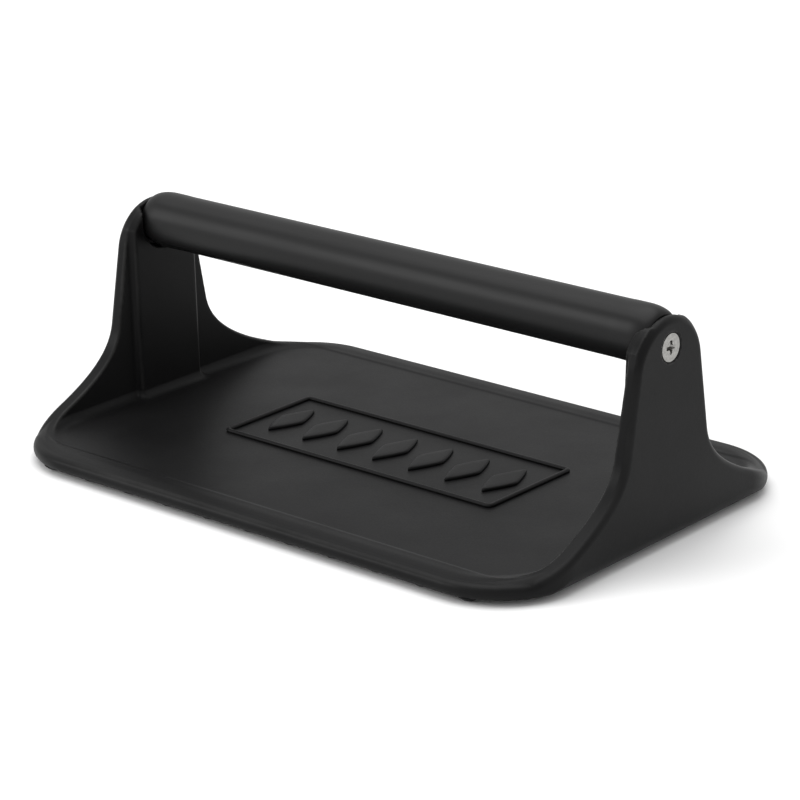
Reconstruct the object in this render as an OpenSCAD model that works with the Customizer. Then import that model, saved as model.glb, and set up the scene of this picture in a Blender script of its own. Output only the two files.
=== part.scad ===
// Patty press: a ribbed cast plate with an upright ear at each short end, a tubular grip
// seated between the ears, and a tie rod through the grip with a countersunk screw at each end.
// Origin: centre of the footprint, on the surface that the ribs rest on.
// +X runs along the grip, -Y is the front edge, +Z is up. Millimetres.

/* [Plate] */
// Length over the outer faces of the two ears
press_l = 243.2; // [236:0.1:260]
// Width across the two long edges
press_w = 168.2; // [150:0.1:180]
// Corner radius of the plate in plan
corner_r = 32; // [22:1:34]
// Height of the raised rim above the resting surface
rim_z = 8.3; // [7.8:0.1:9.5]
// Radius that rounds the plate's edge, top and bottom
edge_r = 2.5; // [1.5:0.1:3]
// How far the cooking field lies below the rim
field_drop = 0.6; // [0.3:0.1:1]
// Width of the rim along the two long edges
rim_w = 12; // [8:0.5:16]

/* [Ribs] */
// Number of ribs under the plate
rib_n = 11; // [7:2:11]
// Distance from rib to rib
rib_pitch = 19.45; // [18:0.05:20]
// Height of a rib below the plate
rib_h = 1.8; // [1.4:0.1:2.2]
// Radius of a rib's rounded section
rib_r = 5; // [4:0.1:6]
// Length of a rib from end to end
rib_l = 166; // [140:1:166]

/* [Ears] */
// Thickness of an ear and of the web that flares out below it
ear_t = 5.6; // [5:0.1:7]
// Radius of the ear's rounded top
cap_r = 19.2; // [17:0.1:20]
// Height of the centre of that round
cap_z = 63.7; // [62:0.1:68]
// How much the ear widens on each side for each millimetre down
ear_taper = 0.175; // [0.08:0.005:0.18]
// Width that the flare adds on each side at the rim
flare_w = 34.5; // [28:0.1:40]
// Height above the rim at which the flare begins
flare_h = 30; // [22:1:34]
// Curve of the flare: 1 is straight, more is hollower
flare_power = 2.05; // [1.3:0.05:2.2]
// Thickness of the pilaster on the ear's inner side, with the ear behind it
pilaster_t = 7.8; // [7.5:0.1:10]
// Half the width of the pilaster
pilaster_hw = 16.5; // [15:0.1:18]
// Room round the grip's end where the pilaster is cut away
grip_room = 0.6; // [0.3:0.1:3]
// Radius of the cove where the ear meets the plate
cove_r = 6; // [4:0.5:8]

/* [Grip] */
// Height of the grip's axis
grip_z = 75.2; // [74:0.1:77]
// Outside radius of the grip
grip_r = 10.4; // [9.5:0.1:11]
// Outside radius of the grip's ends
grip_end_r = 10.5; // [10.4:0.05:11.2]
// Inside radius of the grip tube
grip_bore_r = 7.2; // [7:0.1:7.6]
// Length of the stretch at each end that has the larger radius
grip_end_l = 12; // [8:1:16]
// Thickness that is left of the ear behind the grip's seat
seat_wall = 3.3; // [3.1:0.1:4]
// Gap between the grip's end and the bottom of its seat
end_gap = 0.3; // [0.2:0.1:0.5]
// Radial clearance of the grip's end in its seat
seat_gap = 0.08; // [0.05:0.01:0.1]

/* [Rod and screws] */
// Height of the rod's axis and of the two screws
rod_z = 72.3; // [72:0.1:73]
// Radius of the tie rod
rod_r = 4; // [3.5:0.1:4]
// Nominal thread radius of the screws
screw_r = 2.5; // [2:0.5:2.5]
// Radius of a screw's countersunk head
head_r = 5.2; // [4.5:0.1:5.4]
// Length of a screw from the face of its head to its tip
screw_l = 16; // [12:1:20]
// Depth of the tapped hole in each end of the rod
tapped_l = 18; // [16:1:24]

/* [Name panel] */
// Length of the raised frame on the field
panel_l = 126.4; // [100:0.1:140]
// Width of the raised frame
panel_w = 48; // [36:1:56]
// Width of the frame's border
panel_border = 2; // [1.5:0.5:3]
// Height of the relief above the field
relief_h = 0.8; // [0.5:0.1:1.2]
// Number of lozenges inside the frame
lozenge_n = 7; // [5:2:9]

/* [Hidden] */
round_fn = 96;
half_l = press_l / 2;
half_w = press_w / 2;
field_z = rim_z - field_drop;
field_hw = half_w - rim_w;
field_r = 16;
plate_t = rim_z - rib_h;
ear_inner_x = half_l - ear_t;
pilaster_x = half_l - pilaster_t;
seat_x = half_l - seat_wall;
seat_r = grip_end_r + seat_gap;
grip_l = 2 * (seat_x - end_gap);
head_h = head_r - screw_r;
// The screw's face sits this far below the ear's outer face
head_sink = 0.2;
hole_gap = 0.2;
recess_depth = 1.7;
recess_l = 5.4;
recess_w = 1.3;
pilaster_corner_r = 3;
flare_steps = 24;
lozenge_l = 11;
lozenge_w = 26;
// Small overlap that makes a cut run clean through a face
cut = 1;

// Half-width of the ear and its flare at height z
function ear_hw(z) =
    cap_r + ear_taper * (cap_z - z)
    + flare_w * pow(max(0, 1 - (z - rim_z) / flare_h), flare_power);

// Section of a slab with rounded edges: first axis across it, second axis up from its underside
module slab_section(width, t, e) {
    translate([-width / 2, e])
        square([width, t - 2 * e]);
    translate([-width / 2 + e, 0])
        square([width - 2 * e, t]);
    for (side = [-1, 1])
        for (level = [e, t - e])
            translate([side * (width / 2 - e), level])
                circle(r = e, $fn = round_fn);
}

// A horizontal slab with rounded corners in plan and rounded edges, standing on z = 0
module rounded_slab(l, w, r, t, e) {
    translate([-(l / 2 - r), 0, 0])
        rotate([90, 0, 90])
            linear_extrude(height = l - 2 * r)
                slab_section(w, t, e);
    translate([0, w / 2 - r, 0])
        rotate([90, 0, 0])
            linear_extrude(height = w - 2 * r)
                slab_section(l, t, e);
    for (sx = [-1, 1])
        for (sy = [-1, 1])
            translate([sx * (l / 2 - r), sy * (w / 2 - r), 0])
                rotate_extrude($fn = round_fn)
                    intersection() {
                        slab_section(2 * r, t, e);
                        square([r, t]);
                    }
}

// A rectangle with rounded corners, centred
module rounded_rect(l, w, r) {
    square([l - 2 * r, w], center = true);
    square([l, w - 2 * r], center = true);
    for (sx = [-1, 1])
        for (sy = [-1, 1])
            translate([sx * (l / 2 - r), sy * (w / 2 - r)])
                circle(r = r, $fn = round_fn);
}

// Outline of an ear and its flare, seen along X: first axis Y, second axis Z
module ear_outline() {
    low = rib_h + edge_r;
    levels = [for (i = [0:flare_steps]) low + (cap_z - low) * i / flare_steps];
    right = [for (z = levels) [ear_hw(z), z]];
    left = [for (i = [flare_steps:-1:0]) [-ear_hw(levels[i]), levels[i]]];
    polygon(concat(right, left));
    translate([0, cap_z])
        circle(r = cap_r, $fn = round_fn);
}

// The ear outline as a solid that reaches inward from the outer face at +X.
// It is trimmed to the plate's plan, so the flare follows the plate's round corners.
module ear_prism(depth) {
    intersection() {
        translate([half_l - depth, 0, 0])
            rotate([90, 0, 90])
                linear_extrude(height = depth)
                    ear_outline();
        linear_extrude(height = cap_z + cap_r)
            rounded_rect(press_l, press_w, corner_r);
    }
}

// Pilaster section seen from above, from the pilaster's face to inside the ear
module pilaster_section() {
    back = half_l - ear_t / 2;
    r = pilaster_corner_r;
    translate([pilaster_x + r, -pilaster_hw])
        square([back - pilaster_x - r, 2 * pilaster_hw]);
    translate([pilaster_x, -pilaster_hw + r])
        square([back - pilaster_x, 2 * (pilaster_hw - r)]);
    for (side = [-1, 1])
        translate([pilaster_x + r, side * (pilaster_hw - r)])
            circle(r = r, $fn = round_fn);
}

// Cove that fills the corner between the field and the ear
module cove() {
    intersection() {
        ear_prism(pilaster_t + cove_r);
        translate([0, half_w, 0])
            rotate([90, 0, 0])
                linear_extrude(height = press_w)
                    difference() {
                        translate([pilaster_x - cove_r, field_z - cut])
                            square([cove_r + pilaster_t / 2, cove_r + cut]);
                        translate([pilaster_x - cove_r, field_z + cove_r])
                            circle(r = cove_r, $fn = round_fn);
                    }
    }
}

// Ear, pilaster and cove at the +X end, before the seat and the screw hole are cut
module ear() {
    ear_prism(ear_t);
    difference() {
        intersection() {
            ear_prism(pilaster_t);
            linear_extrude(height = cap_z + cap_r)
                pilaster_section();
        }
        translate([pilaster_x - cut, 0, grip_z])
            rotate([0, 90, 0])
                cylinder(r = grip_end_r + grip_room, h = pilaster_t - ear_t + cut, $fn = round_fn);
    }
    cove();
}

// Round seat for the grip's end and countersunk hole for the screw, at the +X end
module ear_cuts() {
    translate([seat_x - 4 * pilaster_t, 0, grip_z])
        rotate([0, 90, 0])
            cylinder(r = seat_r, h = 4 * pilaster_t, $fn = round_fn);
    translate([seat_x - cut, 0, rod_z])
        rotate([0, 90, 0])
            cylinder(r = screw_r + hole_gap, h = seat_wall + 2 * cut, $fn = round_fn);
    translate([half_l - head_sink - head_h, 0, rod_z])
        rotate([0, 90, 0])
            cylinder(r1 = screw_r, r2 = head_r, h = head_h, $fn = round_fn);
    translate([half_l - head_sink, 0, rod_z])
        rotate([0, 90, 0])
            cylinder(r = head_r, h = head_sink + cut, $fn = round_fn);
}

// Ribs along Y with round ends and a narrow flat land at the bottom
module ribs() {
    land = 0.1;
    run = rib_l / 2 - rib_r;
    intersection() {
        for (i = [0:rib_n - 1])
            translate([(i - (rib_n - 1) / 2) * rib_pitch, 0, rib_r - land]) {
                rotate([90, 0, 0])
                    cylinder(r = rib_r, h = 2 * run, center = true, $fn = round_fn);
                for (side = [-1, 1])
                    translate([0, side * run, 0])
                        sphere(r = rib_r, $fn = round_fn);
            }
        translate([-half_l, -half_w, 0])
            cube([press_l, press_w, rib_h + cut]);
    }
}

// Plain raised frame on the field with a row of lozenges inside it
module name_panel() {
    step = (panel_l - 4 * panel_border) / lozenge_n;
    translate([0, 0, field_z - cut])
        linear_extrude(height = relief_h + cut) {
            difference() {
                square([panel_l, panel_w], center = true);
                square([panel_l - 2 * panel_border, panel_w - 2 * panel_border], center = true);
            }
            for (i = [0:lozenge_n - 1])
                translate([(i - (lozenge_n - 1) / 2) * step, 0])
                    polygon([[-lozenge_l / 2, 0], [0, -lozenge_w / 2],
                             [lozenge_l / 2, 0], [0, lozenge_w / 2]]);
        }
}

// The one-piece casting: plate, rim, ribs, ears and name panel
module casting() {
    color([0.13, 0.13, 0.13])
        difference() {
            union() {
                difference() {
                    translate([0, 0, rib_h])
                        rounded_slab(press_l, press_w, corner_r, plate_t, edge_r);
                    translate([0, 0, field_z])
                        linear_extrude(height = field_drop + cut)
                            rounded_rect(2 * ear_inner_x, 2 * field_hw, field_r);
                }
                ribs();
                name_panel();
                ear();
                mirror([1, 0, 0])
                    ear();
            }
            ear_cuts();
            mirror([1, 0, 0])
                ear_cuts();
        }
}

// Tubular grip with a slightly larger stretch and a rounded edge at each end
module grip() {
    lead = 2;
    edge = 2.2;
    half = grip_l / 2;
    color([0.16, 0.16, 0.16])
        translate([0, 0, grip_z])
            rotate([0, 90, 0])
                rotate_extrude($fn = round_fn)
                    difference() {
                        union() {
                            polygon([
                                [0, -half + edge], [grip_end_r, -half + edge],
                                [grip_end_r, -half + grip_end_l], [grip_r, -half + grip_end_l + lead],
                                [grip_r, half - grip_end_l - lead], [grip_end_r, half - grip_end_l],
                                [grip_end_r, half - edge], [0, half - edge]
                            ]);
                            translate([0, -half])
                                square([grip_end_r - edge, grip_l]);
                            for (side = [-1, 1])
                                translate([grip_end_r - edge, side * (half - edge)])
                                    circle(r = edge, $fn = round_fn);
                        }
                        translate([-cut, -half - cut])
                            square([grip_bore_r + cut, grip_l + 2 * cut]);
                    }
}

// Steel rod clamped between the seats, tapped at both ends
module tie_rod() {
    thread_gap = 0.05;
    color([0.55, 0.56, 0.58])
        translate([0, 0, rod_z])
            rotate([0, 90, 0])
                difference() {
                    cylinder(r = rod_r, h = 2 * seat_x, center = true, $fn = round_fn);
                    for (side = [-1, 1])
                        translate([0, 0, side * (seat_x - (tapped_l - cut) / 2)])
                            cylinder(r = screw_r + thread_gap, h = tapped_l + cut, center = true, $fn = round_fn);
                }
}

// Countersunk screw with a cross recess, at the +X end
module screw() {
    face_x = half_l - head_sink;
    color([0.72, 0.72, 0.70])
        translate([face_x, 0, rod_z])
            rotate([0, 90, 0])
                difference() {
                    union() {
                        translate([0, 0, -head_h])
                            cylinder(r1 = screw_r, r2 = head_r, h = head_h, $fn = round_fn);
                        translate([0, 0, -screw_l])
                            cylinder(r = screw_r, h = screw_l - head_h, $fn = round_fn);
                    }
                    for (turn = [0, 90])
                        rotate([0, 0, turn])
                            translate([-recess_l / 2, -recess_w / 2, -recess_depth])
                                cube([recess_l, recess_w, recess_depth + cut]);
                }
}

module screw_right() {
    screw();
}

module screw_left() {
    mirror([1, 0, 0])
        screw();
}

casting();
grip();
tie_rod();
screw_left();
screw_right();
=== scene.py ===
"""Looks of a ribbed patty press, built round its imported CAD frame.

The casting is worked out as a solid field in numpy, with every edge and corner rounded as a
foundry pattern has them, and is then meshed. Ribs, lozenges, the panel's bead and the screws'
threads are Geometry Nodes. The grip and the screws are turned and cut shapes, and the tie rod is
the CAD node with a drawn-steel finish. Every length is in metres, but the camera's lens and sensor
are in millimetres.
"""

import math

import bmesh
import bpy
import numpy as np
from bpy.props import FloatProperty, FloatVectorProperty, IntProperty, PointerProperty
from mathutils import Matrix, Vector


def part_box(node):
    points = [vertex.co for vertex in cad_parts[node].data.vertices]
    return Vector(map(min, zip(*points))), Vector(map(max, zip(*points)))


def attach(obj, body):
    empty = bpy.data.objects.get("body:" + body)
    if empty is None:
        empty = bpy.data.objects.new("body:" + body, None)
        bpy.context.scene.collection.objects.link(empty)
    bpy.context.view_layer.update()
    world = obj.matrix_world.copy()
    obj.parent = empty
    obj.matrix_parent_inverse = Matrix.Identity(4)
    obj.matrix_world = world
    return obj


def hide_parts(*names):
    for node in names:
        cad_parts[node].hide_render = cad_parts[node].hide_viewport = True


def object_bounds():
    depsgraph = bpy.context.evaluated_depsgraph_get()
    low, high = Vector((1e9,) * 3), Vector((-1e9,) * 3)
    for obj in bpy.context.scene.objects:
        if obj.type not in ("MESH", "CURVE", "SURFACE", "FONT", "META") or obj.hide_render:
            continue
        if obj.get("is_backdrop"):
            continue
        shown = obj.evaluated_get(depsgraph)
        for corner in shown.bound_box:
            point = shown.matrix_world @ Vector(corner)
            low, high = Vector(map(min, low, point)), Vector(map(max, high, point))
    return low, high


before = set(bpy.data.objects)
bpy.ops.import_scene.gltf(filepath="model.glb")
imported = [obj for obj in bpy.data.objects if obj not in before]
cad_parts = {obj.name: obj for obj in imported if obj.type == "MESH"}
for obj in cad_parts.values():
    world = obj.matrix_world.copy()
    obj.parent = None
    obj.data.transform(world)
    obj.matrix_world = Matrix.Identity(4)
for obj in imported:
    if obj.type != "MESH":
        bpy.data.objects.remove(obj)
CAD_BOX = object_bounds()
CAST_LOW, CAST_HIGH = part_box("casting")
GRIP_LOW, GRIP_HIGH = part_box("grip")
ROD_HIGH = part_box("tie_rod")[1]
SCREW_LOW, SCREW_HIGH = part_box("screw_right")

bl_info = {
    "name": "Patty press looks",
    "version": (1, 0, 0),
    "blender": (4, 5, 0),
    "location": "View3D > Sidebar > Patty press",
    "description": "Builds the finished surfaces of a ribbed patty press round its CAD frame",
    "category": "Object",
}

MM = 0.001
TURN = 2 * math.pi
CAP_RADIUS = 19.2 * MM
SUNK = 0.5 * MM  # how deep a rib's or a lozenge's foot is sunk into the plate
GRIP_AXIS = (GRIP_LOW.z + GRIP_HIGH.z) / 2
SCREW_AXIS = (SCREW_LOW.z + SCREW_HIGH.z) / 2


def metres(name, description, default, low=0.0, high=1.0):
    """A length in the sidebar, in metres."""
    return FloatProperty(
        name=name, description=description, default=default, min=low, max=high,
        precision=5, subtype="DISTANCE", unit="LENGTH",
    )


def colour(name, description, default):
    """A linear colour in the sidebar."""
    return FloatVectorProperty(
        name=name, description=description, default=default, min=0.0, max=1.0, size=3, subtype="COLOR",
    )


def share(name, description, default):
    """A number from 0 to 1 in the sidebar."""
    return FloatProperty(
        name=name, description=description, default=default, min=0.0, max=1.0, subtype="FACTOR",
    )


# ---------------------------------------------------------------- sizes and finishes


class PlateSizes(bpy.types.PropertyGroup):
    """The plate, its rim and its field."""

    length: metres("Length", "Over the outer faces of the ears", CAST_HIGH.x - CAST_LOW.x)
    width: metres("Width", "Across the two long edges", CAST_HIGH.y - CAST_LOW.y)
    corner: metres("Corner radius", "Radius of the plate's corners in plan", 32 * MM)
    rim: metres("Rim height", "Top of the rim above the resting surface", 8.3 * MM)
    underside: metres("Underside height", "Height of the plate's underside", 1.8 * MM)
    edge: metres("Edge radius", "Rounding of the plate's upper and lower edges", 2.5 * MM)
    field_drop: metres("Field drop", "Depth of the field below the rim", 0.6 * MM)
    field_step: metres("Field step", "Width over which the rim falls to the field", 1.8 * MM)
    rim_slope: metres("Rim slope", "How far the rim falls towards its outer edge", 1.1 * MM)
    rim_slope_width: metres("Rim slope width", "Width over which the rim falls", 8 * MM)
    end_round: metres("End rounding", "Rounding under the two short ends", 4.7 * MM)
    rim_width: metres("Rim width", "Width of the rim along the long edges", 12 * MM)
    field_corner: metres("Field corner", "Radius of the field's corners in plan", 16 * MM)
    cell: metres(
        "Mesh cell", "Size of the cells that the casting is meshed with", 0.75 * MM, 0.4 * MM, 3 * MM,
    )
    kept_faces: IntProperty(
        name="Faces kept", description="Triangles that the casting's mesh is thinned to",
        default=190000, min=20000, max=195000,
    )


class EarSizes(bpy.types.PropertyGroup):
    """The upright ears and the webs that flare out below them."""

    thickness: metres("Thickness", "Thickness of the ear and its web at the height of the cap", 5.2 * MM)
    cap_radius: metres("Cap radius", "Radius of the ear's round top", CAP_RADIUS)
    cap_height: metres("Cap height", "Height of the centre of that round", CAST_HIGH.z - CAP_RADIUS)
    taper: FloatProperty(
        name="Taper", description="Widening of each side for each metre down", default=0.175,
        min=0.05, max=0.2,
    )
    flare_width: metres("Flare width", "Width that the flare adds on each side at the rim", 36 * MM)
    flare_height: metres("Flare height", "Height above the rim at which the flare begins", 30 * MM)
    flare_power: FloatProperty(
        name="Flare curve", description="1 is straight, more is hollower", default=2.25, min=1.2, max=2.5,
    )
    outer_round: metres("Outer rounding", "Radius of the edge on the ear's outer side", 2.4 * MM)
    inner_round: metres("Inner rounding", "Radius of the edge on the ear's inner side", 0.8 * MM)
    pilaster: metres("Pilaster", "Thickness at the pilaster, with the ear behind it", 7.8 * MM)
    pilaster_half: metres("Pilaster half-width", "Half the width of the pilaster", 16.5 * MM)
    pilaster_round: metres("Pilaster rounding", "Radius of the pilaster's two upright edges", 1.6 * MM)
    draft: FloatProperty(
        name="Draft", description="Inward slope of the ear's inner side for each metre down",
        default=0.025, min=0.0, max=0.08,
    )
    root_round: metres("Root fillet", "Radius where the ear's inner side meets the field", 4.5 * MM)
    seat_radius: metres("Seat radius", "Radius of the round seat for the grip", 10.58 * MM)
    room: metres("Room", "Room round the grip where the pilaster is cut away", 0.6 * MM)
    seat_bottom: metres("Seat bottom", "Distance of the seat's bottom from the middle", ROD_HIGH.x)
    hole_radius: metres("Hole radius", "Radius of the screw's hole", 2.7 * MM)
    mouth_radius: metres("Countersink radius", "Radius of the countersink's mouth", 5.38 * MM)


class RibSizes(bpy.types.PropertyGroup):
    """The ribs under the plate."""

    count: IntProperty(name="Ribs", description="Number of ribs", default=11, min=3, max=11)
    pitch: metres("Pitch", "Distance from rib to rib", 19.45 * MM)
    radius: metres("Radius", "Radius of a rib's rounded section", 5 * MM)
    length: metres("Length", "Length of a rib from end to end", 166 * MM)
    land: metres("Land", "Half the width of the flat that a rib rests on", 1 * MM)
    fillet: metres("Fillet", "Radius where a rib meets the plate", 0.4 * MM)


class PanelSizes(bpy.types.PropertyGroup):
    """The plain framed panel on the field."""

    length: metres("Length", "Length of the raised frame", 126.4 * MM)
    width: metres("Width", "Width of the raised frame", 48 * MM)
    bead: metres("Bead", "Width of the raised frame's bead", 2 * MM)
    relief: metres("Relief", "Height of the relief above the field", 0.8 * MM)
    count: IntProperty(
        name="Lozenges", description="Number of lozenges in the frame", default=7, min=3, max=9,
    )
    lozenge_length: metres("Lozenge length", "Length of a lozenge along the panel", 11 * MM)
    lozenge_width: metres("Lozenge width", "Width of a lozenge across the panel", 26 * MM)


class GripSizes(bpy.types.PropertyGroup):
    """The tubular grip."""

    radius: metres("Radius", "Outside radius of the grip", 10.4 * MM)
    end_radius: metres("End radius", "Outside radius of the grip's ends", 10.5 * MM)
    bore: metres("Bore radius", "Inside radius of the tube", 7.2 * MM)
    end_length: metres("End length", "Length of the larger stretch at each end", 12 * MM)
    edge: metres("Edge", "How far the tube's outer end edge is rounded inwards", 2.6 * MM)
    edge_length: metres("Edge length", "Length over which the end edge is rounded", 8 * MM)
    sides: IntProperty(name="Sides", description="Facets round the grip", default=144, min=48, max=256)


class ScrewSizes(bpy.types.PropertyGroup):
    """The two countersunk screws."""

    head_radius: metres("Head radius", "Radius of the countersunk head", 5.15 * MM)
    head_height: metres("Head height", "Height of the head's cone", 2.7 * MM)
    core_radius: metres("Core radius", "Radius at the bottom of the thread", 2.12 * MM)
    thread_radius: metres("Thread radius", "Radius at the thread's crest", 2.5 * MM)
    thread_pitch: metres("Thread pitch", "Distance from crest to crest", 0.8 * MM)
    recess_depth: metres("Recess depth", "Depth of the cross recess", 1.9 * MM)
    recess_reach: metres("Recess reach", "Half the length of the cross", 2.5 * MM)
    recess_half: metres("Recess half-width", "Half the width of a wing of the cross", 0.62 * MM)
    cell: metres("Mesh cell", "Size of the cells that a screw is meshed with", 0.13 * MM, 0.08 * MM, 0.5 * MM)


class Finishes(bpy.types.PropertyGroup):
    """Colours and surface qualities."""

    enamel: colour("Enamel", "Black baked coating on the casting", (0.0056, 0.0056, 0.0058))
    # This lighter colour is laid on convex edges: partly rubbed wear, partly a painted highlight along the
    # edges.
    enamel_worn_and_highlight: colour("Worn enamel", "The coating where edges have rubbed", (0.024, 0.0238, 0.0235))
    enamel_rough: share("Enamel roughness", "Roughness of the coating", 0.43)
    grip_black: colour("Grip coating", "Black coating on the grip", (0.0075, 0.0075, 0.0076))
    grip_rough: share("Grip roughness", "Roughness of the grip's coating", 0.4)
    plating: colour("Plating", "Bright plating on the screws", (0.36, 0.355, 0.34))
    drawn_steel: colour("Drawn steel", "The tie rod", (0.5, 0.51, 0.53))


class StageLook(bpy.types.PropertyGroup):
    """Floor, lights and camera."""

    azimuth: FloatProperty(
        name="Azimuth", description="Direction of the camera round the object",
        default=math.radians(40.062), subtype="ANGLE", unit="ROTATION",
    )
    elevation: FloatProperty(
        name="Elevation", description="Height of the camera as an angle",
        default=math.radians(19.413), subtype="ANGLE", unit="ROTATION",
    )
    roll: FloatProperty(
        name="Roll", description="Turn of the camera about its own line of sight",
        default=math.radians(-0.435), subtype="ANGLE", unit="ROTATION",
    )
    distance: metres("Distance", "From the camera to the point it looks at", 1.135915, 0.2, 5.0)
    lens: FloatProperty(
        name="Lens", description="Focal length, in millimetres", default=139.469, min=20, max=300,
    )
    aim: FloatVectorProperty(
        name="Aim", description="Point that the camera looks at", default=(-0.003924, 0.007711, 0.023912),
        size=3, subtype="XYZ", unit="LENGTH",
    )
    floor: colour("Floor", "Pale floor", (0.9, 0.9, 0.9))
    sky: FloatProperty(
        name="Surround", description="Brightness of the pale surround", default=0.74, min=0, max=3,
    )


# ---------------------------------------------------------------- solid fields
# A field is negative inside a solid and positive outside, close to the distance from its surface.


def round_join(a, b, radius):
    """Two solids as one, with a fillet where they meet."""
    corner = np.hypot(np.maximum(radius - a, 0), np.maximum(radius - b, 0))
    return np.maximum(radius, np.minimum(a, b)) - corner


def round_cut(a, b, radius):
    """What two solids share, with a rounded edge where their surfaces meet."""
    corner = np.hypot(np.maximum(radius + a, 0), np.maximum(radius + b, 0))
    return np.minimum(-radius, np.maximum(a, b)) + corner


def rounded_plan(x, y, half_x, half_y, radius):
    """A rectangle with rounded corners, centred."""
    over_x = np.abs(x) - half_x + radius
    over_y = np.abs(y) - half_y + radius
    outside = np.hypot(np.maximum(over_x, 0), np.maximum(over_y, 0))
    return outside + np.minimum(np.maximum(over_x, over_y), 0) - radius


def ease(value, low, high):
    """0 below low, 1 above high and a smooth rise between."""
    t = np.clip((value - low) / (high - low), 0, 1)
    return t * t * (3 - 2 * t)


def plate_solid(x, y, z, plate, ear, plan):
    """The slab with its rim and the shallow field inside it."""
    middle = (plate.rim + plate.underside) / 2
    half = (plate.rim - plate.underside) / 2
    slab = round_cut(plan, np.abs(z - middle) - half, plate.edge)
    field = rounded_plan(
        x, y, plate.length / 2 - ear.thickness, plate.width / 2 - plate.rim_width, plate.field_corner
    )
    top = plate.rim - plate.field_drop * ease(-field, -plate.field_step / 2, plate.field_step / 2)
    fall = np.clip(1 + plan / plate.rim_slope_width, 0, 1)
    return round_cut(slab, z - top + plate.rim_slope * fall**2, plate.edge)


def ear_outline(y, z, plate, ear):
    """The ear's outline seen from its end: a round cap, straight tapered sides and the flare."""
    lean = math.atan(ear.taper)
    rise = np.maximum(0, 1 - (z - plate.rim) / ear.flare_height)
    flare = ear.flare_width * rise**ear.flare_power
    flare_slope = ear.flare_width * ear.flare_power / ear.flare_height * rise ** (ear.flare_power - 1)
    half = ear.cap_radius / math.cos(lean) + ear.taper * (ear.cap_height - z) + flare
    side = (np.abs(y) - half) / np.sqrt(1 + (ear.taper + flare_slope) ** 2)
    cap = np.hypot(y, z - ear.cap_height) - ear.cap_radius
    above = (z - ear.cap_height) * math.cos(lean) > np.abs(y) * math.sin(lean)
    return np.where(above, cap, side)


def ear_solid(x, y, z, plate, ear, plan):
    """One ear at +X: the web, which keeps its thickness round the corners, and its pilaster."""
    side_fillet, room_edge = 1.8 * MM, 0.6 * MM
    outline = ear_outline(y, z, plate, ear)
    lean = ear.draft * (ear.cap_height - z)
    web = round_cut(outline, plan, ear.outer_round)
    web = round_cut(web, -plan - ear.thickness - lean, ear.inner_round)
    pilaster_face = plate.length / 2 - ear.pilaster - lean
    sides = np.maximum(np.abs(y) - ear.pilaster_half, outline)
    pilaster = round_cut(sides, pilaster_face - x, ear.pilaster_round)
    room = np.hypot(y, z - GRIP_AXIS) - ear.seat_radius - ear.room
    pilaster = round_cut(pilaster, -room, room_edge)
    pilaster = np.maximum(pilaster, x - (plate.length / 2 - ear.thickness / 2))
    low = plate.underside + plate.edge
    return np.maximum(round_join(web, pilaster, side_fillet), low - z)


def seat_hollow(x, y, z, ear):
    """The round seat that the grip's end sits in, open towards the middle."""
    bottom_edge = 0.4 * MM
    bore = np.hypot(y, z - GRIP_AXIS) - ear.seat_radius
    return round_cut(bore, x - ear.seat_bottom, bottom_edge)


def screw_hollow(x, y, z, ear):
    """The countersunk hole for the screw."""
    radius = np.hypot(y, z - SCREW_AXIS)
    cone = (radius - ear.mouth_radius - (x - SCREW_HIGH.x)) * math.sqrt(0.5)
    mouth = np.maximum(cone, radius - ear.mouth_radius)
    return np.minimum(radius - ear.hole_radius, mouth)


def casting_solid(points, plate, ear):
    """The whole casting but its ribs and its panel. It is the same in all four quarters."""
    least_root, seat_edge, hole_edge = 0.02 * MM, 0.5 * MM, 0.25 * MM
    x, y, z = np.abs(points[..., 0]), np.abs(points[..., 1]), points[..., 2]
    plan = rounded_plan(x, y, plate.length / 2, plate.width / 2, plate.corner)
    slab = plate_solid(x, y, z, plate, ear, plan)
    upright = ear_solid(x, y, z, plate, ear, plan)
    face = plate.length / 2
    root_starts, root_full = 0.15 * ear.thickness, 0.85 * ear.thickness
    inward = ease(-plan, root_starts, root_full)
    body = round_join(upright, slab, least_root + ear.root_round * inward)
    under = plate.underside + plate.end_round
    ends = np.hypot(np.maximum(x - face + plate.end_round, 0), np.maximum(under - z, 0)) - plate.end_round
    body = np.maximum(body, ends)
    body = round_cut(body, -seat_hollow(x, y, z, ear), seat_edge)
    return round_cut(body, -screw_hollow(x, y, z, ear), hole_edge)


def slope(solid, points, step):
    """The field's gradient by central differences."""
    made = np.empty_like(points)
    for axis in range(3):
        shift = np.zeros(3)
        shift[axis] = step
        made[:, axis] = (solid(points + shift) - solid(points - shift)) / (2 * step)
    return made


def settled(solid, points, step):
    """Points near the surface, moved onto it along the field's gradient."""
    passes, least_square, longest, tiny = 3, 0.05, step * 4, 1e-12
    for _ in range(passes):
        gradient = slope(solid, points, step)
        square = np.maximum((gradient**2).sum(1), least_square)
        move = (solid(points) / square)[:, None] * gradient
        size = np.linalg.norm(move, axis=1, keepdims=True)
        points = points - move * np.minimum(1, longest / np.maximum(size, tiny))
    return points


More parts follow.
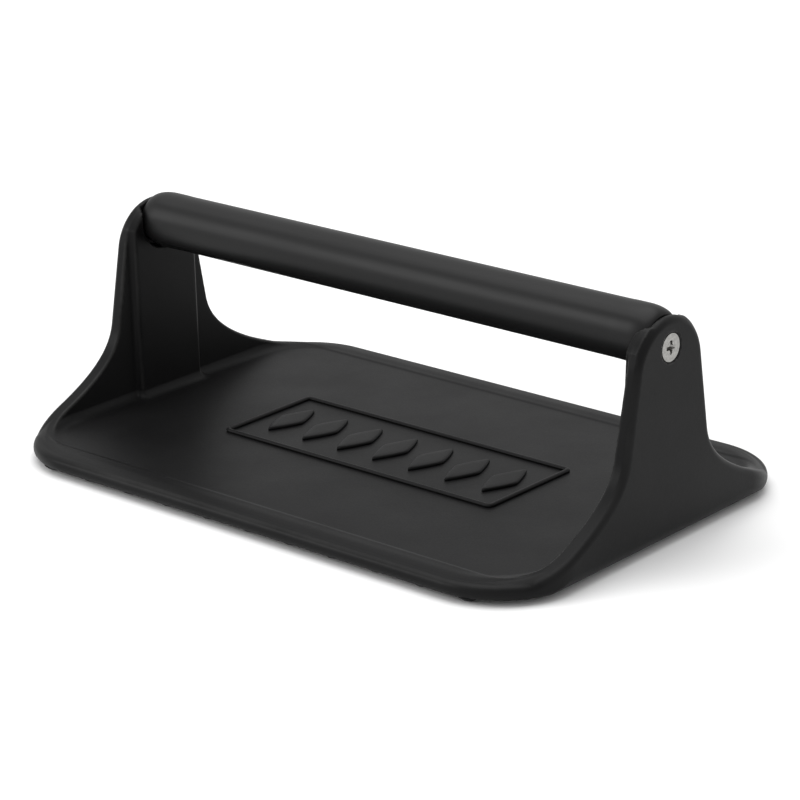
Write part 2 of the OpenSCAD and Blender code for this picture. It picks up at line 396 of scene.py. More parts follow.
def net_of(values, origin, cell):
    """Corners and quads of the surface where values on a regular grid change sign, one corner a cell."""
    inside = values < 0
    shape = np.array(values.shape) - 1
    count = np.zeros(shape, np.int8)
    for i, j, k in np.ndindex(2, 2, 2):
        count += inside[i:i + shape[0], j:j + shape[1], k:k + shape[2]]
    active = (count > 0) & (count < 8)
    cells = np.argwhere(active)
    number = np.full(shape, -1, np.int64)
    number[active] = np.arange(len(cells))
    total, hits = np.zeros((len(cells), 3)), np.zeros(len(cells))
    for axis in range(3):
        others = [a for a in range(3) if a != axis]
        for i, j in np.ndindex(2, 2):
            start = cells.copy()
            start[:, others[0]] += i
            start[:, others[1]] += j
            end = start.copy()
            end[:, axis] += 1
            a, b = values[tuple(start.T)], values[tuple(end.T)]
            crossed = (a < 0) != (b < 0)
            along = np.where(crossed, a / np.where(crossed, a - b, 1), 0)
            place = start.astype(float)
            place[:, axis] += along
            total += place * crossed[:, None]
            hits += crossed
    points = origin + cell * total / hits[:, None]
    quads = []
    for axis in range(3):
        u, v = (axis + 1) % 3, (axis + 2) % 3
        low, high = [slice(1, -1)] * 3, [slice(1, -1)] * 3
        low[axis], high[axis] = slice(0, -1), slice(1, None)
        first, second = inside[tuple(low)], inside[tuple(high)]
        for found, flip in ((first & ~second, False), (~first & second, True)):
            at = np.argwhere(found)
            at[:, u] += 1
            at[:, v] += 1
            corners = []
            for du, dv in ((-1, -1), (0, -1), (0, 0), (-1, 0)):
                beside = at.copy()
                beside[:, u] += du
                beside[:, v] += dv
                corners.append(number[tuple(beside.T)])
            quad = np.stack(corners, 1)
            quads.append(quad[:, ::-1] if flip else quad)
    return points, np.concatenate(quads)


# ---------------------------------------------------------------- meshes and node trees


def new_object(name, mesh):
    """A linked object at the origin that holds the mesh."""
    made = bpy.data.objects.new(name, mesh)
    bpy.context.scene.collection.objects.link(made)
    return made


def mesh_of(name, points, faces):
    """A smooth-shaded mesh from arrays of corners and faces."""
    mesh = bpy.data.meshes.new(name)
    mesh.from_pydata(points, [], faces)
    mesh.polygons.foreach_set("use_smooth", np.ones(len(mesh.polygons), bool))
    mesh.update()
    return mesh


def baked(obj):
    """Turns what an object's modifiers make into its plain mesh, and removes them."""
    bpy.context.view_layer.update()
    made = bpy.data.meshes.new_from_object(obj.evaluated_get(bpy.context.evaluated_depsgraph_get()))
    obj.modifiers.clear()
    old, obj.data = obj.data, made
    if old.users == 0:
        bpy.data.meshes.remove(old)
    return obj


def thinned(obj, kept):
    """Thins the mesh to about that many triangles, flat stretches first."""
    triangles = sum(len(p.vertices) - 2 for p in obj.data.polygons)
    if triangles > kept:
        cut = obj.modifiers.new("thin", "DECIMATE")
        cut.ratio = kept / triangles
        baked(obj)
    return obj


def corners_of(mesh):
    """The mesh's corners as an array."""
    made = np.empty(len(mesh.vertices) * 3, np.float32)
    mesh.vertices.foreach_get("co", made)
    return made.reshape(-1, 3).astype(float)


def surfaced(name, solid, lows, highs, cell, kept, mirrored=False):
    """An object whose mesh is the field's surface, with true normals and the convex edges marked for wear and
    a painted highlight.
    """
    axes = [np.arange(lo, hi, cell) for lo, hi in zip(lows, highs)]
    if mirrored:
        for i in (0, 1):
            axes[i] = (np.arange(math.ceil(highs[i] / cell)) + 0.5) * cell
    values = np.empty([len(a) for a in axes], np.float32)
    for k, level in enumerate(axes[2]):
        layer = np.stack(np.broadcast_arrays(axes[0][:, None], axes[1][None, :], level), -1)
        values[:, :, k] = solid(layer)
    origin = np.array([a[0] for a in axes])
    if mirrored:
        values = np.concatenate([values[::-1], values])
        values = np.concatenate([values[:, ::-1], values], 1)
        origin[:2] = [-axes[0][-1], -axes[1][-1]]
    points, quads = net_of(values, origin, cell)
    obj = thinned(new_object(name, mesh_of(name, settled(solid, points, cell / 8), quads)), kept)
    mesh = obj.data
    points = settled(solid, corners_of(mesh), cell / 8)
    mesh.vertices.foreach_set("co", points.astype(np.float32).ravel())
    finish_surface(mesh, solid, points, cell)
    return obj


def finish_surface(mesh, solid, points, cell):
    """Gives the mesh the field's own normals, and an attribute that is high on its outer edges, where the
    enamel is painted lighter as wear and as a painted highlight.
    """
    gradient = slope(solid, points, cell / 8)
    normals = gradient / np.maximum(np.linalg.norm(gradient, axis=1, keepdims=True), 1e-9)
    reach = 1.0 * MM
    bend = np.zeros(len(points))
    for axis in range(3):
        shift = np.zeros(3)
        shift[axis] = reach
        bend += solid(points + shift) + solid(points - shift)
    # High on convex edges, which the enamel paints lighter: partly wear, partly a painted highlight.
    edge = mesh.attributes.new("edge_wear_and_highlight", "FLOAT", "POINT")
    edge.data.foreach_set("value", np.clip(bend / reach, 0, 1).astype(np.float32))
    mesh.polygons.foreach_set("use_smooth", np.ones(len(mesh.polygons), bool))
    mesh.normals_split_custom_set_from_vertices(normals.astype(np.float32).tolist())
    mesh.update()


def node(tree, kind, inputs=None, **settings):
    """Adds a node, sets its properties and its inputs. A socket given as an input is linked."""
    made = tree.nodes.new(kind)
    for key, value in settings.items():
        setattr(made, key, value)
    for key, value in (inputs or {}).items():
        if isinstance(value, bpy.types.NodeSocket):
            tree.links.new(value, made.inputs[key])
        else:
            made.inputs[key].default_value = value
    return made


def node_tree(name, sockets):
    """A Geometry Nodes tree with geometry in and out and those inputs. Returns it and its inputs' sockets."""
    tree = bpy.data.node_groups.new(name, "GeometryNodeTree")
    tree.interface.new_socket("Geometry", in_out="INPUT", socket_type="NodeSocketGeometry")
    tree.interface.new_socket("Geometry", in_out="OUTPUT", socket_type="NodeSocketGeometry")
    for label, kind in sockets:
        tree.interface.new_socket(label, in_out="INPUT", socket_type=kind)
    tree.interface.new_socket("Material", in_out="INPUT", socket_type="NodeSocketMaterial")
    return tree, tree.nodes.new("NodeGroupInput").outputs


def close_tree(tree, given, geometry):
    """Ends the tree in Realize Instances and Set Material."""
    real = node(tree, "GeometryNodeRealizeInstances", {"Geometry": geometry})
    smooth = node(tree, "GeometryNodeSetShadeSmooth", {"Geometry": real.outputs[0]})
    finished = node(
        tree, "GeometryNodeSetMaterial",
        {"Geometry": smooth.outputs[0], "Material": given["Material"]},
    )
    tree.links.new(finished.outputs[0], tree.nodes.new("NodeGroupOutput").inputs[0])


def grown(obj, tree, coat, values):
    """Runs the tree on the object with that finish and those inputs, and keeps the result as its mesh."""
    values = {**values, "Material": material(coat)}
    modifier = obj.modifiers.new(tree.name, "NODES")
    modifier.node_group = tree
    for item in tree.interface.items_tree:
        if item.in_out == "INPUT" and item.name in values:
            modifier[item.identifier] = values[item.name]
    return baked(obj)


def row_tree():
    """Sets copies of the object's own mesh along a straight line."""
    tree, given = node_tree(
        "Row along a line",
        [("Count", "NodeSocketInt"), ("First", "NodeSocketVector"), ("Step", "NodeSocketVector")],
    )
    line = node(
        tree, "GeometryNodeMeshLine",
        {"Count": given["Count"], "Start Location": given["First"],
         "Offset": given["Step"]},
    )
    copies = node(
        tree, "GeometryNodeInstanceOnPoints",
        {"Points": line.outputs[0], "Instance": given["Geometry"]},
    )
    close_tree(tree, given, copies.outputs[0])
    return tree


def set_in_row(obj, count, pitch):
    """Repeats an enamelled piece along X, in a row with its middle at the origin."""
    grown(obj, row_tree(), "baked_enamel", {
        "Count": count,
        "First": (-(count - 1) / 2 * pitch, 0, 0),
        "Step": (pitch, 0, 0),
    })


def bead_tree():
    """Sweeps a low rounded bead round a rectangle with small round corners."""
    tree, given = node_tree(
        "Bead round a rectangle",
        [("Length", "NodeSocketFloat"), ("Width", "NodeSocketFloat"), ("Corner", "NodeSocketFloat"),
         ("Bead size", "NodeSocketVector"), ("Place", "NodeSocketVector")],
    )
    path = node(
        tree, "GeometryNodeCurvePrimitiveQuadrilateral",
        {"Width": given["Length"], "Height": given["Width"]},
    )
    turned = node(
        tree, "GeometryNodeFilletCurve",
        {"Curve": path.outputs[0], "Radius": given["Corner"], "Count": 6},
        mode="POLY",
    )
    section = node(tree, "GeometryNodeCurvePrimitiveCircle", {"Resolution": 24, "Radius": 1.0})
    shaped = node(
        tree, "GeometryNodeTransform",
        {"Geometry": section.outputs[0], "Scale": given["Bead size"]},
    )
    swept = node(
        tree, "GeometryNodeCurveToMesh",
        {"Curve": turned.outputs[0], "Profile Curve": shaped.outputs[0]},
    )
    placed = node(
        tree, "GeometryNodeTransform",
        {"Geometry": swept.outputs[0], "Translation": given["Place"]},
    )
    close_tree(tree, given, placed.outputs[0])
    return tree


def thread_tree():
    """Winds a ridge along a helix and closes its two ends."""
    tree, given = node_tree(
        "Thread on a shank",
        [("Turns", "NodeSocketFloat"), ("Radius", "NodeSocketFloat"), ("Height", "NodeSocketFloat"),
         ("Ridge", "NodeSocketFloat"), ("Turn", "NodeSocketVector"), ("Place", "NodeSocketVector")],
    )
    helix = node(
        tree, "GeometryNodeCurveSpiral",
        {"Resolution": 40, "Rotations": given["Turns"], "Start Radius": given["Radius"],
         "End Radius": given["Radius"], "Height": given["Height"]},
    )
    ridge = node(
        tree, "GeometryNodeCurvePrimitiveCircle", {"Resolution": 6, "Radius": given["Ridge"]},
    )
    wound = node(
        tree, "GeometryNodeCurveToMesh",
        {"Curve": helix.outputs[0], "Profile Curve": ridge.outputs[0], "Fill Caps": True},
    )
    placed = node(
        tree, "GeometryNodeTransform",
        {"Geometry": wound.outputs[0], "Rotation": given["Turn"],
         "Translation": given["Place"]},
    )
    close_tree(tree, given, placed.outputs[0])
    return tree


# ---------------------------------------------------------------- materials


def new_material(name, settings):
    """A material with one Principled shader, and its constants set on the shader's own sockets."""
    made = bpy.data.materials.new(name)
    made.use_nodes = True
    shader = made.node_tree.nodes["Principled BSDF"]
    for key, value in settings.items():
        shader.inputs[key].default_value = value
    return made, made.node_tree, shader


def object_place(tree):
    """The Object coordinates, from one node that the whole material shares."""
    found = tree.nodes.get("Texture Coordinate") or tree.nodes.new("ShaderNodeTexCoord")
    return found.outputs["Object"]


def noise(tree, scale, detail=3.0, roughness=0.55, stretch=None):
    """Noise on Object coordinates. The scale is about the number of features in a metre."""
    source = object_place(tree)
    if stretch:
        source = node(tree, "ShaderNodeMapping", {"Vector": source, "Scale": stretch}).outputs[0]
    return node(
        tree, "ShaderNodeTexNoise",
        {"Vector": source, "Scale": scale, "Detail": detail, "Roughness": roughness},
    ).outputs["Fac"]


def mapped(tree, value, low, high, out_low, out_high):
    """A value carried from one range over to another and held inside it."""
    return node(
        tree, "ShaderNodeMapRange",
        {"Value": value, "From Min": low, "From Max": high, "To Min": out_low, "To Max": out_high},
    ).outputs[0]


def mixed(tree, factor, a, b):
    """A colour between a and b."""
    return node(tree, "ShaderNodeMix", {0: factor, 6: a, 7: b}, data_type="RGBA").outputs[2]


def figured(tree, operation, a, b):
    """One arithmetic step on two values."""
    return node(tree, "ShaderNodeMath", {0: a, 1: b}, operation=operation).outputs[0]


def bumped(tree, shader, layers):
    """Lays bumps over each other, each a (height, strength, depth in metres), and links the last one."""
    normal = None
    for height, strength, depth in layers:
        inputs = {"Height": height, "Strength": strength, "Distance": depth}
        if normal is not None:
            inputs["Normal"] = normal
        normal = node(tree, "ShaderNodeBump", inputs).outputs[0]
    tree.links.new(normal, shader.inputs["Normal"])


def rgba(value, strength=1.0):
    """A colour, dimmed if the strength is below 1, with full alpha."""
    return (*(strength * c for c in value), 1.0)


def two_tone(tree, shader, pattern, low, high, first, second):
    """Links a base colour that goes from the first to the second as the pattern goes from low to high."""
    blend = mixed(tree, mapped(tree, pattern, low, high, 0, 1), first, second)
    tree.links.new(blend, shader.inputs["Base Color"])


def baked_enamel(finish):
    """Black baked coating over cast iron: sand grain under it, soft cloudiness, and convex edges painted
    lighter, partly as rubbed wear and partly as a painted highlight.
    """
    made, tree, shader = new_material("baked_enamel", {"IOR": 1.5, "Specular IOR Level": 0.11})
    clouds = noise(tree, 38, 4)
    grain = noise(tree, 1500, 3, 0.6)
    pits = noise(tree, 520, 2, 0.5)
    # Convex edges get a lighter colour: partly rubbed wear, partly a painted highlight along the edges.
    wear_and_highlight = node(tree, "ShaderNodeAttribute", attribute_name="edge_wear_and_highlight").outputs["Fac"]
    patchy = mapped(tree, clouds, 0.35, 0.65, 0.2, 1)
    rubbed_and_highlit = figured(tree, "MULTIPLY", mapped(tree, wear_and_highlight, 0.25, 0.9, 0, 1), patchy)
    cloudy = mapped(tree, clouds, 0.3, 0.7, 0, 1)
    coat = mixed(tree, cloudy, rgba(finish.enamel, 0.82), rgba(finish.enamel))
    tree.links.new(mixed(tree, rubbed_and_highlit, coat, rgba(finish.enamel_worn_and_highlight)), shader.inputs["Base Color"])
    rough = mapped(tree, clouds, 0.3, 0.7, finish.enamel_rough - 0.035, finish.enamel_rough + 0.035)
    rough = figured(tree, "SUBTRACT", rough, figured(tree, "MULTIPLY", rubbed_and_highlit, 0.08))
    rough = figured(tree, "ADD", rough, mapped(tree, grain, 0.3, 0.7, -0.03, 0.03))
    tree.links.new(rough, shader.inputs["Roughness"])
    bumped(tree, shader, [(pits, 0.30, 0.06 * MM), (grain, 0.45, 0.02 * MM)])
    return made


def satin_grip(finish):
    """Smooth black coating on the tube, a little glossier, with faint marks along it."""
    made, tree, shader = new_material("satin_grip", {"IOR": 1.5, "Specular IOR Level": 0.2})
    clouds = noise(tree, 30, 3)
    grain = noise(tree, 1900, 2, 0.5)
    drawn = noise(tree, 220, 3, 0.6, stretch=(0.06, 1, 1))
    two_tone(tree, shader, clouds, 0.3, 0.7, rgba(finish.grip_black, 0.85), rgba(finish.grip_black))
    rough = mapped(tree, drawn, 0.3, 0.7, finish.grip_rough - 0.04, finish.grip_rough + 0.04)
    tree.links.new(rough, shader.inputs["Roughness"])
    bumped(tree, shader, [(drawn, 0.12, 0.03 * MM), (grain, 0.35, 0.015 * MM)])
    return made


def bright_plating(finish):
    """Bright plating with faint turning rings about the screw's own line."""
    made, tree, shader = new_material("bright_plating", {"Metallic": 1.0})
    centred = node(
        tree, "ShaderNodeMapping", {"Vector": object_place(tree), "Location": (0, 0, -SCREW_AXIS)},
    ).outputs[0]
    rings = node(
        tree, "ShaderNodeTexWave", {"Vector": centred, "Scale": 700, "Distortion": 1.5, "Detail": 2},
        wave_type="RINGS", rings_direction="X",
    ).outputs["Fac"]
    spots = noise(tree, 900, 3)
    two_tone(tree, shader, spots, 0.35, 0.7, rgba(finish.plating), rgba(finish.plating, 0.78))
    tree.links.new(mapped(tree, spots, 0.3, 0.7, 0.24, 0.4), shader.inputs["Roughness"])
    bumped(tree, shader, [(rings, 0.10, 0.01 * MM), (spots, 0.15, 0.01 * MM)])
    return made


def drawn_rod_steel(finish):
    """Drawn steel with fine lines along the rod."""
    made, tree, shader = new_material("drawn_rod_steel", {"Metallic": 1.0})
    lines = noise(tree, 900, 3, 0.6, stretch=(0.03, 1, 1))
    stain = noise(tree, 60, 3)
    two_tone(tree, shader, stain, 0.4, 0.7, rgba(finish.drawn_steel), rgba(finish.drawn_steel, 0.7))
    tree.links.new(mapped(tree, lines, 0.3, 0.7, 0.25, 0.42), shader.inputs["Roughness"])
    bumped(tree, shader, [(lines, 0.2, 0.02 * MM)])
    return made


def pale_floor(look):
    """Matt pale floor with a barely visible mottle."""
    made, tree, shader = new_material("pale_floor", {"Roughness": 0.9, "Specular IOR Level": 0.1})
    two_tone(tree, shader, noise(tree, 6, 2), 0.3, 0.7, rgba(look.floor), rgba(look.floor, 0.985))
    return made


def material(name):
    """A finished material by name, made the first time that it is asked for."""
    found = bpy.data.materials.get(name)
    if found:
        return found
    scene = bpy.context.scene
    if name == "pale_floor":
        return pale_floor(scene.press_stage)
    makers = {
        "baked_enamel": baked_enamel,
        "satin_grip": satin_grip,
        "bright_plating": bright_plating,
        "drawn_rod_steel": drawn_rod_steel,
    }
    return makers[name](scene.press_finish)


def painted(obj, name):
    """Gives the object that one material."""
    obj.data.materials.clear()
    obj.data.materials.append(material(name))
    return obj


# ---------------------------------------------------------------- shapes made ring by ring


def lathed(profile, sides):
    """Corners and faces of a closed profile, a list of (x, radius), turned about X."""
    turn = np.arange(sides) * TURN / sides
    rings = [
        np.stack([np.full(sides, x), -radius * np.sin(turn), radius * np.cos(turn)], 1)
        for x, radius in profile
    ]
    faces = []
    for i in range(len(profile)):
        a, b = i * sides, (i + 1) % len(profile) * sides
        for k in range(sides):
            n = (k + 1) % sides
            faces.append((a + k, a + n, b + n, b + k))
    return np.concatenate(rings), faces


def stacked(rings):
    """Corners and faces of a closed form: each ring is joined to the next, and both ends are filled."""
    count = len(rings[0])
    faces = [tuple(range(count))[::-1]]
    for i in range(len(rings) - 1):
        for k in range(count):
            n = (k + 1) % count
            faces.append((i * count + k, i * count + n, (i + 1) * count + n, (i + 1) * count + k))
    faces.append(tuple((len(rings) - 1) * count + k for k in range(count)))
    return np.concatenate(rings), faces


def arc(centre, radius, start, end, steps):
    """Points (across, up) on an arc, angles in degrees from the first axis."""
    angles = np.radians(np.linspace(start, end, steps + 1))
    return [(centre[0] + radius * math.cos(a), centre[1] + radius * math.sin(a)) for a in angles]


def outward(mesh):
    """Turns every face of a closed mesh outwards."""
    shape = bmesh.new()
    shape.from_mesh(mesh)
    bmesh.ops.remove_doubles(shape, verts=shape.verts, dist=1e-7)
    bmesh.ops.recalc_face_normals(shape, faces=shape.faces)
    shape.to_mesh(mesh)
    shape.free()
    mesh.polygons.foreach_set("use_smooth", np.ones(len(mesh.polygons), bool))
    mesh.update()
    return mesh


# ---------------------------------------------------------------- operators, one for each piece


class MakeCasting(bpy.types.Operator):
    """Builds the plate and the two ears as one casting"""

    bl_idname = "press.make_casting"
    bl_label = "Casting"

    def execute(self, context):
        plate, ear = context.scene.press_plate, context.scene.press_ear
        margin = 1.5 * MM
        highs = (plate.length / 2 + margin, plate.width / 2 + margin, CAST_HIGH.z + margin)
        lows = (-highs[0], -highs[1], plate.underside - margin)
        cell = plate.cell * 1
        body = surfaced(
            "casting_body", lambda points: casting_solid(points, plate, ear), lows, highs, cell,
            plate.kept_faces, mirrored=True,
        )
        painted(body, "baked_enamel")
        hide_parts("casting")
        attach(body, "frame")
        return {"FINISHED"}


class MakeRibs(bpy.types.Operator):
    """Builds one rib with a filleted foot and sets the row of them under the plate"""

    bl_idname = "press.make_ribs"
    bl_label = "Ribs"

    def execute(self, context):
        plate, rib = context.scene.press_plate, context.scene.press_rib
        run = rib.length / 2 - rib.radius
        axis = math.sqrt(rib.radius**2 - rib.land**2)
        meet = math.degrees(math.acos((axis - plate.underside + rib.fillet) / (rib.radius + rib.fillet)))
        foot = (rib.radius + rib.fillet) * math.sin(math.radians(meet))
        start = math.degrees(math.asin(rib.land / rib.radius))
        outline = arc((0, axis), rib.radius, start - 90, meet - 90, 8)
        outline += arc((foot, plate.underside - rib.fillet), rib.fillet, meet + 90, 90, 5)[1:]
        outline += [(foot, plate.underside + SUNK)]
        rings = [self.ring(across, up, run) for across, up in outline]
        body = new_object("casting_ribs", outward(mesh_of("rib", *stacked(rings))))
        set_in_row(body, rib.count, rib.pitch)
        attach(body, "frame")
        return {"FINISHED"}

    @staticmethod
    def ring(across, up, run):
        """A level ring round the rib: two straight sides and two round ends."""
        steps = 16
        turn = np.linspace(0, math.pi, steps + 1)
        half = np.stack([across * np.cos(turn), run + across * np.sin(turn), np.full(steps + 1, up)], 1)
        return np.concatenate([half, half * (-1, -1, 1)])


class MakePanel(bpy.types.Operator):
    """Builds the bead of the framed panel and the row of lozenges inside it"""

    bl_idname = "press.make_panel"
    bl_label = "Framed panel"

    def execute(self, context):
        plate, panel = context.scene.press_plate, context.scene.press_panel
        field = plate.rim - plate.field_drop
        bead_corner = 1.5 * MM
        bead = new_object("casting_panel_bead", bpy.data.meshes.new("bead"))
        grown(bead, bead_tree(), "baked_enamel", {
            "Length": panel.length - panel.bead,
            "Width": panel.width - panel.bead,
            "Corner": bead_corner,
            "Bead size": (panel.bead / 2, panel.relief, 1),
            "Place": (0, 0, field),
        })
        outline = [(1.0, -SUNK), (1.0, 0.15 * panel.relief), (0.975, 0.6 * panel.relief),
                   (0.92, 0.88 * panel.relief), (0.84, panel.relief), (0.5, 1.03 * panel.relief)]
        rings = [self.ring(size, field + up, panel) for size, up in outline]
        row = new_object("casting_lozenges", outward(mesh_of("lozenge", *stacked(rings))))
        set_in_row(row, panel.count, (panel.length - 4 * panel.bead) / panel.count)
        for piece in (bead, row):
            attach(piece, "frame")
        return {"FINISHED"}

    @staticmethod
    def ring(size, up, panel):
        """A level ring in the shape of a lozenge with soft corners."""
        steps, softness = 64, 1.18
        turn = (np.arange(steps) + 0.5) * TURN / steps
        reach = (np.abs(np.cos(turn)) ** softness + np.abs(np.sin(turn)) ** softness) ** (-1 / softness)
        inset = (1 - size) * panel.lozenge_length / 2
        return np.stack([
            (panel.lozenge_length / 2 - inset) * reach * np.cos(turn),
            (panel.lozenge_width / 2 - inset * 2) * reach * np.sin(turn),
            np.full(steps, up),
        ], 1)


class MakeGrip(bpy.types.Operator):
    """Turns the tubular grip with its slightly larger, round-edged ends"""

    bl_idname = "press.make_grip"
    bl_label = "Grip"

    def execute(self, context):
        grip = context.scene.press_grip
        half, edge = GRIP_HIGH.x, grip.edge
        inner_edge, lead = 0.4 * MM, 5 * MM
        reach = half - grip.end_length - lead
        swell = grip.end_radius - grip.radius
        right = [(reach + lead * t, grip.radius + swell * ease(t, 0, 1)) for t in np.linspace(0, 1, 11)]
        right += [
            (half - grip.edge_length + grip.edge_length * across / edge, up)
            for across, up in arc((0, grip.end_radius - edge), edge, 90, 0, 12)
        ]
        right += arc((half - inner_edge, grip.bore + inner_edge), inner_edge, 0, -90, 5)
        middle = 12
        inner = half - inner_edge
        outer_run = [(-reach + 2 * reach * i / middle, grip.radius) for i in range(1, middle)]
        inner_run = [(inner - 2 * inner * i / middle, grip.bore) for i in range(1, middle)]
        left = [(-x, radius) for x, radius in right[::-1]]
        profile = right + inner_run + left + outer_run
        points, faces = lathed(profile, grip.sides)
        points[:, 2] += GRIP_AXIS
        tube = new_object("grip_tube", outward(mesh_of("grip", points, faces)))
        painted(tube, "satin_grip")
        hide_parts("grip")
        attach(tube, "handle")
        return {"FINISHED"}


class MakeScrews(bpy.types.Operator):
    """Builds the two countersunk screws with their cross recesses and threads"""

    bl_idname = "press.make_screws"
    bl_label = "Screws"

    def execute(self, context):
        screw = context.scene.press_screw
        length = SCREW_HIGH.x - SCREW_LOW.x
        margin, reach = 0.4 * MM, 6 * MM
        kept_faces = 60000
        cell = screw.cell * 1
        for side, name in ((1, "screw_right"), (-1, "screw_left")):
            face = side * SCREW_HIGH.x
            tip = face - side * length
            head = surfaced(
                f"{name}_body",
                lambda points, side=side, face=face: self.solid(
                    (points - (face, 0, SCREW_AXIS)) * (-side, 1, 1), screw, length
                ),
                (min(face, tip) - margin, -reach, SCREW_AXIS - reach),
                (max(face, tip) + margin, reach, SCREW_AXIS + reach),
                cell, kept_faces,
            )
            painted(head, "bright_plating")
            thread = new_object(f"{name}_thread", bpy.data.meshes.new("thread"))
            wound = length - screw.head_height - 2 * screw.thread_pitch
            ridge = 0.3 * MM
            grown(thread, thread_tree(), "bright_plating", {
                "Turns": wound / screw.thread_pitch,
                "Radius": screw.thread_radius - ridge,
                "Height": wound,
                "Ridge": ridge,
                "Turn": (0, math.radians(-90 * side), 0),
                "Place": (face - side * (screw.head_height + screw.thread_pitch), 0, SCREW_AXIS),
            })
            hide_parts(name)
            for piece in (head, thread):
                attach(piece, "frame")
        return {"FINISHED"}

    @staticmethod
    def solid(points, screw, length):
        """A screw whose face lies at x = 0 and whose tip points to +x."""
        land, face_edge, neck_fillet, tip_chamfer = 0.05 * MM, 0.18 * MM, 0.4 * MM, 0.5 * MM
        cone_overlap, recess_fillet, recess_edge = 0.3 * MM, 0.25 * MM, 0.1 * MM
        recess_core = 1.25 * MM
        reach_taper, half_taper, core_taper = 0.55, 0.25, 0.5
        x, y, z = points[..., 0], points[..., 1], points[..., 2]
        radius = np.hypot(y, z)
        cone = (radius - screw.head_radius + x) * math.sqrt(0.5)
        head = round_cut(np.maximum(cone, radius - screw.head_radius + land), -x, face_edge)
        head = np.maximum(head, x - screw.head_height - cone_overlap)
        shank = np.maximum(radius - screw.core_radius, np.abs(x - length / 2) - length / 2)
        tip = (radius - screw.core_radius + x - (length - tip_chamfer)) * math.sqrt(0.5)
        body = round_join(head, np.maximum(shank, tip), neck_fillet)
        depth = np.clip(x / screw.recess_depth, 0, 1)
        reach = screw.recess_reach * (1 - reach_taper * depth)
        half = screw.recess_half * (1 - half_taper * depth)
        along, across = np.maximum(np.abs(y), np.abs(z)), np.minimum(np.abs(y), np.abs(z))
        wings = np.maximum(across - half, along - reach)
        cross = round_join(wings, radius - recess_core * (1 - core_taper * depth), recess_fillet)
        recess = np.maximum(cross, x - screw.recess_depth)
        return round_cut(body, -recess, recess_edge)


class FinishRod(bpy.types.Operator):
    """Gives the tie rod inside the grip its drawn-steel finish"""

    bl_idname = "press.finish_rod"
    bl_label = "Tie rod finish"

    def execute(self, context):
        painted(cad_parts["tie_rod"], "drawn_rod_steel")
        return {"FINISHED"}


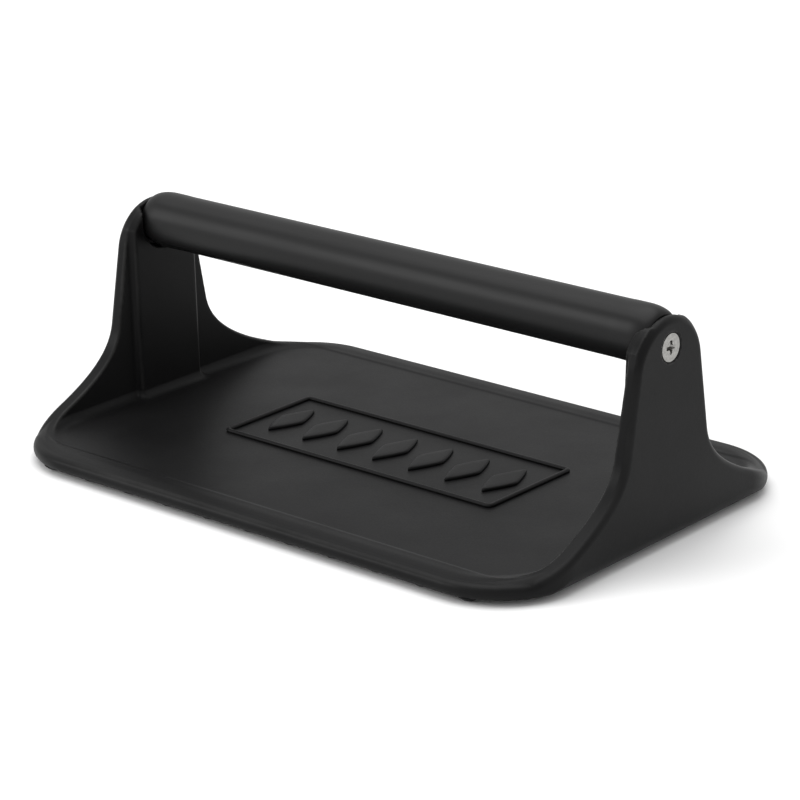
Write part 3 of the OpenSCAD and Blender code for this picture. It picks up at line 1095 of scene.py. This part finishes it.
class MakeStage(bpy.types.Operator):
    """Lays the pale floor, hangs the soft lights and sets the camera"""

    bl_idname = "press.make_stage"
    bl_label = "Stage"

    def execute(self, context):
        look = context.scene.press_stage
        reach = 6.0
        points = np.array([(-reach, -reach, 0), (reach, -reach, 0), (reach, reach, 0), (-reach, reach, 0)])
        floor = painted(new_object("floor", mesh_of("floor", points, [(0, 1, 2, 3)])), "pale_floor")
        floor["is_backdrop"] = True
        world = bpy.data.worlds.new("pale_surround")
        world.use_nodes = True
        world.node_tree.nodes["Background"].inputs["Color"].default_value = (1, 1, 1, 1)
        world.node_tree.nodes["Background"].inputs["Strength"].default_value = look.sky
        context.scene.world = world
        context.scene.view_settings.view_transform = "Standard"
        self.soft_light(context, "overhead", place=(-0.2, 0.1, 1.5), aim=(0, 0, 0), size=1.6, power=17)
        self.soft_light(context, "from_left", place=(-1, -1.2, 0.75), aim=(0, 0, 0.03), size=0.8, power=9)
        self.camera(context, look)
        return {"FINISHED"}

    @staticmethod
    def soft_light(context, name, place, aim, size, power):
        """A square soft light that faces a point. Power is in watts."""
        data = bpy.data.lights.new(name, "AREA")
        data.size = size
        data.energy = power
        lamp = bpy.data.objects.new(name, data)
        lamp.location = place
        lamp.rotation_mode = "QUATERNION"
        lamp.rotation_quaternion = (Vector(aim) - Vector(place)).to_track_quat("-Z", "Y")
        context.scene.collection.objects.link(lamp)

    @staticmethod
    def camera(context, look):
        """A long lens from the front right, a little above."""
        level = math.cos(look.elevation)
        back = Vector((
            math.sin(look.azimuth) * level, -math.cos(look.azimuth) * level, math.sin(look.elevation),
        ))
        right = Vector((0, 0, 1)).cross(back).normalized()
        up = back.cross(right)
        cosine, sine = math.cos(look.roll), math.sin(look.roll)
        axes = Matrix((cosine * right + sine * up, cosine * up - sine * right, back)).transposed()
        data = bpy.data.cameras.new("camera")
        data.lens = look.lens
        data.sensor_width = 36
        data.clip_start, data.clip_end = 0.05, 50
        camera = bpy.data.objects.new("camera", data)
        camera.matrix_world = Matrix.Translation(Vector(look.aim) + back * look.distance) @ axes.to_4x4()
        context.scene.collection.objects.link(camera)
        context.scene.camera = camera


# ---------------------------------------------------------------- sidebar and registration

GROUPS = {
    "press_plate": PlateSizes,
    "press_ear": EarSizes,
    "press_rib": RibSizes,
    "press_panel": PanelSizes,
    "press_grip": GripSizes,
    "press_screw": ScrewSizes,
    "press_finish": Finishes,
    "press_stage": StageLook,
}
STEPS = (MakeStage, MakeCasting, MakeRibs, MakePanel, MakeGrip, MakeScrews, FinishRod)


class PressPanel(bpy.types.Panel):
    """Lists the operators, one a row"""

    bl_idname = "VIEW3D_PT_patty_press"
    bl_label = "Patty press"
    bl_space_type = "VIEW_3D"
    bl_region_type = "UI"
    bl_category = "Patty press"

    def draw(self, context):
        for step in STEPS:
            self.layout.operator(step.bl_idname)
        for name in GROUPS:
            box = self.layout.box()
            group = getattr(context.scene, name)
            for key in group.__annotations__:
                box.prop(group, key)


CLASSES = (*GROUPS.values(), *STEPS, PressPanel)


def register():
    """Registers the classes and hangs the property groups on the scene."""
    for cls in CLASSES:
        bpy.utils.register_class(cls)
    for name, cls in GROUPS.items():
        setattr(bpy.types.Scene, name, PointerProperty(type=cls))


def unregister():
    """Takes away what register() added."""
    for name in GROUPS:
        delattr(bpy.types.Scene, name)
    for cls in reversed(CLASSES):
        bpy.utils.unregister_class(cls)


def main():
    """Builds everything in order."""
    register()
    for step in STEPS:
        group, name = step.bl_idname.split(".")
        if getattr(getattr(bpy.ops, group), name)() != {"FINISHED"}:
            raise RuntimeError(f"{step.bl_label} did not finish")
    boxes = {"cad": CAD_BOX, "visual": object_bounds()}
    {key: [list(low), list(high)] for key, (low, high) in boxes.items()}


if __name__ == "__main__":
    main()
